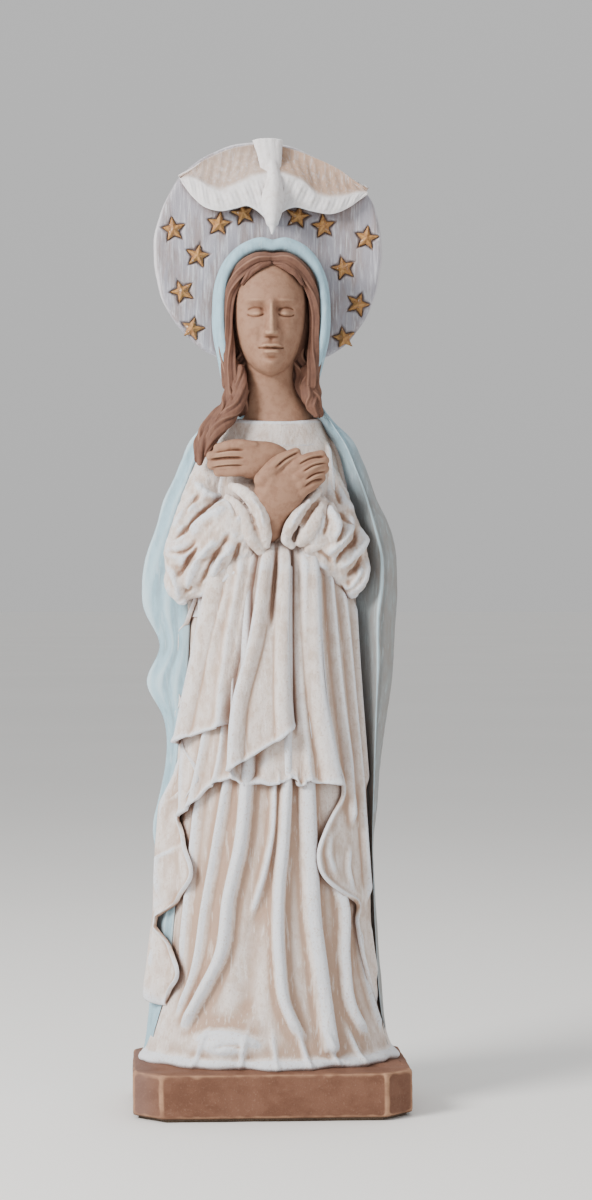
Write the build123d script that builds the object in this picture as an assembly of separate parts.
from build123d import *

import os

# Devotional statue: a veiled woman with crossed hands stands on a plinth with cut corners.
# A round halo with twelve inlaid stars and a diving dove rises behind her head.
# Millimetres. +Z up, she looks along -Y, origin on the table under the middle of the plinth.

# ---- driving dimensions -------------------------------------------------------------------
plinth_width = 94.5
plinth_depth = 66.0
plinth_corner = 9.3
felt_inset = 2.0
felt_top = 1.0
plinth_top = 16.0
edge_break = 0.7

figure_x = 1.0
waist_z = 172.0
neckline_z = 239.0
tunic_top = 175.4
layer_gap = 0.15
hands_meet_y = -16.5

halo_radius = 40.0
halo_thickness = 4.0
halo_front_y = 11.0
halo_z = 294.5
halo_x = 0.0

star_tip_radius = 4.3
star_waist_radius = 1.9
star_pocket_depth = 1.6
star_inlay_thickness = 1.0

screw_radius = 1.6
screw_head_radius = 3.1
screw_spacing = 40.0
screw_clearance = 0.1
rod_radius = 1.5
pin_radius = 0.8
finger_width = 3.2
finger_pitch = 3.5
fit_gap = 0.03
joint_waist = 0.94
very_long = 400.0

# Height, half width, half depth and middle y of the gown's cross-sections.
gown_sections = [
    (plinth_top, 40.0, 27.0, 0.5),
    (24.0, 39.4, 26.6, 0.5),
    (40.0, 37.2, 24.8, 1.0),
    (75.0, 35.2, 23.0, 2.0),
    (110.0, 33.4, 21.5, 2.5),
    (145.0, 31.0, 19.8, 3.0),
    (waist_z, 29.5, 18.2, 3.0),
    (195.0, 28.5, 17.0, 3.0),
    (212.0, 27.0, 15.2, 3.2),
    (226.0, 23.0, 13.0, 3.6),
    (234.0, 18.0, 11.5, 4.0),
    (neckline_z, 15.0, 10.2, 4.0),
]
# The same for the outside of the cloak, from its hem to the back of the neck.
cloak_sections = [
    (plinth_top, 43.2, 27.0, 4.5),
    (40.0, 40.4, 26.0, 4.8),
    (60.0, 38.8, 25.5, 5.0),
    (95.0, 38.4, 24.5, 5.0),
    (140.0, 41.0, 23.5, 5.0),
    (170.0, 43.0, 23.0, 5.0),
    (195.0, 41.5, 22.0, 5.0),
    (212.0, 36.5, 20.5, 4.5),
    (226.0, 31.0, 17.5, 4.0),
    (238.0, 23.0, 15.5, 2.5),
    (250.0, 19.0, 14.5, 0.0),
]
cloak_front_y = 0.5
cloak_top = 247.0

# Middle and half sizes of the rounded forms of the head.
skull_middle = (figure_x, -3.5, 270.0)
skull_half = (13.0, 14.5, 21.0)
hair_half = (16.6, 16.0, 23.4)
hood_half = (20.0, 19.2, 27.4)
face_half = (11.6, 19.5)
hood_mouth_half = (16.9, 25.0)

# Places of the twelve stars on the halo's face, as x and z.
star_places = [
    (-33.0, 303.0), (-17.0, 305.0), (-8.5, 309.0), (-24.5, 294.0), (-30.0, 281.5), (-26.5, 268.5),
    (34.5, 300.5), (19.5, 304.5), (10.5, 308.0), (26.5, 290.0), (31.5, 277.5), (26.5, 265.5),
]  # fmt: skip

placed = {}


# ---- small tools --------------------------------------------------------------------------
def oval(z, half_width, half_depth, middle_y):
    return Plane(origin=(figure_x, middle_y, z)) * Ellipse(half_width, half_depth)


def body(sections, grow=0.0):
    """A closed solid through a stack of ovals, each grown outwards."""
    return loft([oval(z, a + grow, b + grow, y) for z, a, b, y in sections], ruled=True)


def slab(z_low, z_high):
    return Pos(0, 0, (z_low + z_high) / 2) * Box(very_long, very_long, z_high - z_low)


def window(x_low, x_high, y_low, y_high, z_low, z_high):
    middle = ((x_low + x_high) / 2, (y_low + y_high) / 2, (z_low + z_high) / 2)
    return Pos(*middle) * Box(x_high - x_low, y_high - y_low, z_high - z_low)


def face_opening(half):
    """An oval way in from the front, as wide and as high as the face or the hood's mouth."""
    flat = Plane(origin=(figure_x, -4.0, 268.0), x_dir=(1, 0, 0), z_dir=(0, -1, 0))
    return extrude(flat * Rot(0, 0, 90) * Ellipse(half[1], half[0]), amount=60)


def egg(middle, half, grow=0.0):
    """An ellipsoid, grown outwards."""
    return Pos(*middle) * scale(Sphere(1.0), by=tuple(length + grow for length in half))


def rod(start, end, radius, end_radius=None):
    """A straight round bar, or a cone when the two radii differ."""
    a, b = Vector(*start), Vector(*end)
    plane = Plane(origin=a, z_dir=b - a)
    length = (b - a).length
    if end_radius is None or abs(end_radius - radius) < 1e-6:
        return Part() + Solid.make_cylinder(radius, length, plane)
    return Part() + Solid.make_cone(radius, end_radius, length, plane)


def limb(points, radii):
    """Balls joined by slightly slimmer cones, as an arm or a lock of hair."""
    shape = Part()
    for point, radius in zip(points, radii):
        shape += Pos(*point) * Sphere(radius)
    for k in range(len(points) - 1):
        slim = [joint_waist * radius for radius in radii[k : k + 2]]
        shape += rod(points[k], points[k + 1], *slim)
    return shape


def outline_plate(points, y_back, y_front):
    """A plate cut to an outline in x and z, between two depths."""
    face = make_face(Polyline([Vector(x, y_back, z) for x, z in points], close=True))
    return extrude(face, amount=y_back - y_front, dir=(0, -1, 0))


def place(name, shape, against=(), whole=True):
    """Keeps a shape under its name, cut back from the shapes and the placed pieces that it sits against."""
    for other in against:
        shape = shape - (placed[other] if isinstance(other, str) else other)
    solids = sorted(shape.solids(), key=lambda solid: -solid.volume)
    placed[name] = solids[0] if whole or len(solids) == 1 else Compound(children=solids)


# ---- stand: felt, plinth and the screws that hold the figure down ---------------------------
def cut_corner_plate(width, depth, corner, z_low, z_high):
    outline = Rectangle(width, depth)
    outline = chamfer(outline.vertices(), corner)
    return extrude(Pos(0, 0, z_low) * outline, amount=z_high - z_low)


def plinth():
    block = cut_corner_plate(plinth_width, plinth_depth, plinth_corner, felt_top, plinth_top)
    rims = [e for e in block.edges() if abs(e.center().Z - plinth_top) < 1e-6]
    return chamfer(rims, edge_break)


def plinth_screws():
    screws = Part()
    for side in (-1, 1):
        x = figure_x + side * screw_spacing / 2
        head = rod((x, 2, felt_top + 1.2), (x, 2, felt_top + 4.2), screw_head_radius, screw_radius)
        shank = rod((x, 2, felt_top + 4.2), (x, 2, 42), screw_radius)
        tip = rod((x, 2, 42), (x, 2, 46), screw_radius, 0.2)
        slot = Pos(x, 2, felt_top + 1.2) * Box(4.4, 0.9, 1.8)
        screws += (head + shank + tip) - slot
    return screws


def screw_holes():
    holes = Part()
    reach = screw_radius + screw_clearance
    wide = screw_head_radius + screw_clearance
    for side in (-1, 1):
        x = figure_x + side * screw_spacing / 2
        holes += rod((x, 2, 0), (x, 2, felt_top + 1.2), wide)
        holes += rod((x, 2, felt_top + 1.2), (x, 2, felt_top + 4.3), wide, reach)
        holes += rod((x, 2, felt_top + 4.2), (x, 2, 46.5), reach)
    return holes


# ---- hands ---------------------------------------------------------------------------------
def hand(wrist, lean, mirror_thumb, y_back, y_front):
    """A flat open hand with the fingers side by side, from the wrist along its lean from upright."""
    shape = Pos(0, 1.5) * Rectangle(10.0, 12.0) + Pos(0, 11.5) * RectangleRounded(14.6, 16.0, 4.5)
    for k, reach in enumerate((28.5, 31.5, 31.0, 27.5)):
        side = (k - 1.5) * finger_pitch
        shape += Pos(side, (16.0 + reach) / 2) * RectangleRounded(finger_width, reach - 16.0, 1.5)
    thumb = Rot(0, 0, 14 * mirror_thumb) * RectangleRounded(4.0, 17.0, 1.8)
    shape += Pos(-6.6 * mirror_thumb, 14.0) * thumb
    face = Plane(origin=(wrist[0], y_back, wrist[1]), x_dir=(1, 0, 0), z_dir=(0, -1, 0))
    return extrude(face * Rot(0, 0, -lean) * shape, amount=y_back - y_front)


# ---- sleeves and cuffs ---------------------------------------------------------------------
def sleeve(shoulder, elbow, wrist):
    return limb([shoulder, elbow, wrist], [8.0, 9.2, 8.2])


def cuff(elbow, wrist):
    """A wide turned-back ring at the sleeve's mouth."""
    along = (Vector(*wrist) - Vector(*elbow)).normalized()
    start = Vector(*wrist) + along * 0.2
    end = start + along * 3.4
    ring = rod(tuple(start), tuple(end), 8.6, 10.2)
    return ring - rod(tuple(start - along), tuple(end + along), 6.6)


# ---- halo, stars and dove --------------------------------------------------------------------
def star_outline(reach, waist):
    corners = []
    for k in range(10):
        radius = reach if k % 2 == 0 else waist
        corners.append(Vector(0, radius, 0).rotate(Axis.Z, 36.0 * k))
    return make_face(Polyline(corners, close=True))


def star_solid(x, z, depth_front, depth_back, grow=0.0):
    outline = star_outline(star_tip_radius + grow, star_waist_radius + grow)
    flat = Plane(origin=(x, depth_back, z), x_dir=(1, 0, 0), z_dir=(0, -1, 0)) * outline
    return extrude(flat, amount=depth_back - depth_front)


def halo():
    disc = rod(
        (halo_x, halo_front_y, halo_z),
        (halo_x, halo_front_y + halo_thickness, halo_z),
        halo_radius,
    )
    disc = fillet(disc.edges().filter_by(GeomType.CIRCLE), 1.2)
    for x, z in star_places:
        disc -= star_solid(x, z, halo_front_y - 1, halo_front_y + star_pocket_depth, fit_gap)
    return disc


def dove_body():
    """Tail at the halo's rim, back towards the viewer, beak down over the hood."""
    spine = limb(
        [(1.8, 9.0, 330.0), (1.6, 6.0, 319.0), (1.5, 1.5, 309.0), (1.2, -2.0, 303.0)],
        [2.4, 3.0, 4.0, 2.7],
    )
    beak = rod((1.2, -2.5, 301.5), (0.9, -4.4, 298.3), 1.5, 0.3)
    tail = outline_plate([(-1.8, 333.2), (5.4, 333.2), (3.4, 322.0), (0.2, 322.0)], 11.0, 6.0)
    return spine + beak + tail


def dove_wing(side):
    """One spread wing, from the halo's rim down to its leading edge."""
    if side < 0:
        outline = [(-1.0, 331.0), (-13.0, 329.5), (-23.0, 324.0), (-30.0, 316.5),
                   (-21.0, 308.5), (-11.5, 306.5), (-4.0, 308.5), (-1.0, 312.0)]  # fmt: skip
    else:
        outline = [(4.2, 331.0), (15.0, 328.5), (26.0, 322.5), (35.0, 313.0),
                   (25.5, 306.0), (17.0, 305.0), (8.0, 307.5), (4.2, 311.0)]  # fmt: skip
    wedge = outline_plate(outline, halo_front_y, 1.0)
    slope = Plane(origin=(0, 9.0, 332.0), x_dir=(1, 0, 0), z_dir=(0, -1.0, 0.31))
    upper = slope * Box(very_long, very_long, 60, align=(Align.CENTER, Align.CENTER, Align.MIN))
    return wedge - upper


# ---- build, in order of what stays whole ----------------------------------------------------
gown = body(gown_sections)
gown_room = body(gown_sections, layer_gap)
skirt_room = body(gown_sections[:9], layer_gap)

# Straight pins and the rod in the neck lie in snug drilled holes.
rod_line = ((figure_x, 4, 140), (figure_x, 1, 274))
pins = {
    "hand_pins": [((-4, -19, 203), (-4, -8, 203)), ((-2, -15, 219), (-2, -4, 219))],
    "halo_pins": [((-7, 4, 280), (-7, 14, 280)), ((9, 4, 280), (9, 14, 280))],
    "dove_pins": [((1.6, 6.0, 316), (1.6, 13.5, 316))],
}
place("neck_rod", rod(*rod_line, rod_radius))
rod_hole = rod(*rod_line, rod_radius + fit_gap)
drilled = {}
for name, group in pins.items():
    shape, hole = Part(), Part()
    for start, end in group:
        shape += rod(start, end, pin_radius)
        hole += rod(start, end, pin_radius + fit_gap)
    place(name, shape, whole=False)
    drilled[name] = hole

place("plinth_screws", plinth_screws(), whole=False)
felt_plate = cut_corner_plate(
    plinth_width - 2 * felt_inset, plinth_depth - 2 * felt_inset, plinth_corner, 0, felt_top
)
place("felt_pad", felt_plate)
holes = screw_holes()
place("plinth", plinth(), [holes])

neck = limb([(figure_x, 2.5, 232.0), (figure_x, 0.5, 255.0)], [12.0, 9.0]) & slab(228.0, 262.0)
place("head", egg(skull_middle, skull_half) + neck, [rod_hole, drilled["halo_pins"]])
place("gown_bodice", gown & slab(waist_z, neckline_z), ["head", rod_hole, drilled["hand_pins"]])
place("gown_skirt", gown & slab(plinth_top, waist_z), [holes, rod_hole])

place("right_hand", hand((-1.0, 199.0), 39, 1, hands_meet_y, -21.5), [gown_room, drilled["hand_pins"]])
place("left_hand", hand((9.5, 219.5), -84, -1, -11.0, hands_meet_y), [gown_room, drilled["hand_pins"]])

# Front of the tunic: an under layer and a shorter top layer that hang from under the arms.
lower_shell = body(gown_sections[4:9], 2.3)
upper_shell = body(gown_sections[4:9], 4.6)
lower_window = window(-60, 60, -60, 0, 113, tunic_top)
upper_window = window(-26, 17, -60, -4, 128, tunic_top)
place("tunic_lower_layer", lower_shell & lower_window, [skirt_room])
place("tunic_upper_layer", upper_shell & upper_window, [body(gown_sections[4:9], 2.3 + layer_gap)])

# Cascading edges at both sides of the skirt, below the tunic.
side_shell = body(gown_sections[1:6], 3.2)
place("right_cascade", side_shell & window(-60, -24, -60, 0, 36, 112.8), [skirt_room])
place("left_cascade", side_shell & window(19, 60, -60, 0, 40, 112.8), [skirt_room])

right_elbow, right_wrist = (-25.5, -6.5, 185.0), (-8.0, -17.5, 195.5)
left_elbow, left_wrist = (28.5, -6.5, 185.0), (16.5, -16.5, 196.5)
arm_room = window(-60, 60, -60, cloak_front_y - layer_gap, 160, 240)
hands = ["right_hand", "left_hand", drilled["hand_pins"]]
place("right_cuff", cuff(right_elbow, right_wrist), [gown_room, *hands])
place("left_cuff", cuff(left_elbow, left_wrist), [gown_room, *hands, "right_cuff"])
right_arm = sleeve((-21.0, -2.0, 216.0), right_elbow, right_wrist) & arm_room
left_arm = sleeve((24.0, -2.0, 216.0), left_elbow, left_wrist) & arm_room
place("right_sleeve", right_arm, [gown_room, "right_cuff", "left_cuff", *hands])
place("left_sleeve", left_arm, [gown_room, "right_cuff", "left_cuff", *hands, "right_sleeve"])

neck_ring = body(gown_sections[8:], 1.3) & window(-20, 24, -60, 0, 229, neckline_z)
place("neck_band", neck_ring, [gown_room, "head", *hands, "right_sleeve", "left_sleeve"])

# Halo with its stars, then the dove in front of it.
place("halo", halo(), [drilled["halo_pins"], drilled["dove_pins"]])
star_back = halo_front_y + star_pocket_depth
for index, (x, z) in enumerate(star_places, start=1):
    place(f"star_{index:02d}", star_solid(x, z, star_back - star_inlay_thickness, star_back))
in_front_of_halo = window(-60, 60, -60, halo_front_y, 250, 360)
place("dove_body", dove_body() & in_front_of_halo, [drilled["dove_pins"]])
place("dove_right_wing", dove_wing(-1), ["dove_body"])
place("dove_left_wing", dove_wing(1), ["dove_body"])

# Hair: a cap with a parting and a lock at each side.
head_room = [egg(skull_middle, skull_half, layer_gap), "head"]
hair_room = window(-60, 60, -60, halo_front_y, 254, 300)
place("hair_cap", egg(skull_middle, hair_half) & hair_room,
      [*head_room, face_opening(face_half), drilled["halo_pins"]])  # fmt: skip
under_hood = slab(200.0, cloak_top)
right_lock = limb([(-13.0, -5.5, 246.0), (-17.0, -8.0, 235.0), (-21.0, -10.0, 224.0)], [3.4, 3.8, 2.6])
left_lock = limb([(15.5, -5.0, 246.0), (16.8, -6.0, 239.5)], [3.4, 2.4])
lock_room = [gown_room, "head", "neck_band", "left_hand", "right_sleeve", "left_sleeve"]
place("hair_right_lock", right_lock & under_hood, lock_room)
place("hair_left_lock", left_lock & under_hood, lock_room)

# The cloak closes the back from the plinth to the nape, and the hood goes on up over the hair.
behind = window(-60, 60, cloak_front_y, 60, plinth_top, cloak_top)
place("cloak", body(cloak_sections) & behind, [gown_room, "head"])
hood = egg(skull_middle, hood_half) & window(-60, 60, -60, halo_front_y, cloak_top, 310)
hood_lining = egg(skull_middle, hair_half, layer_gap)
place("hood", hood, [hood_lining, face_opening(hood_mouth_half), "head", rod_hole, drilled["halo_pins"]])

# ---- write ------------------------------------------------------------------------------------
os.makedirs("parts", exist_ok=True)
for name, shape in placed.items():
    export_step(shape, f"parts/{name}.step")
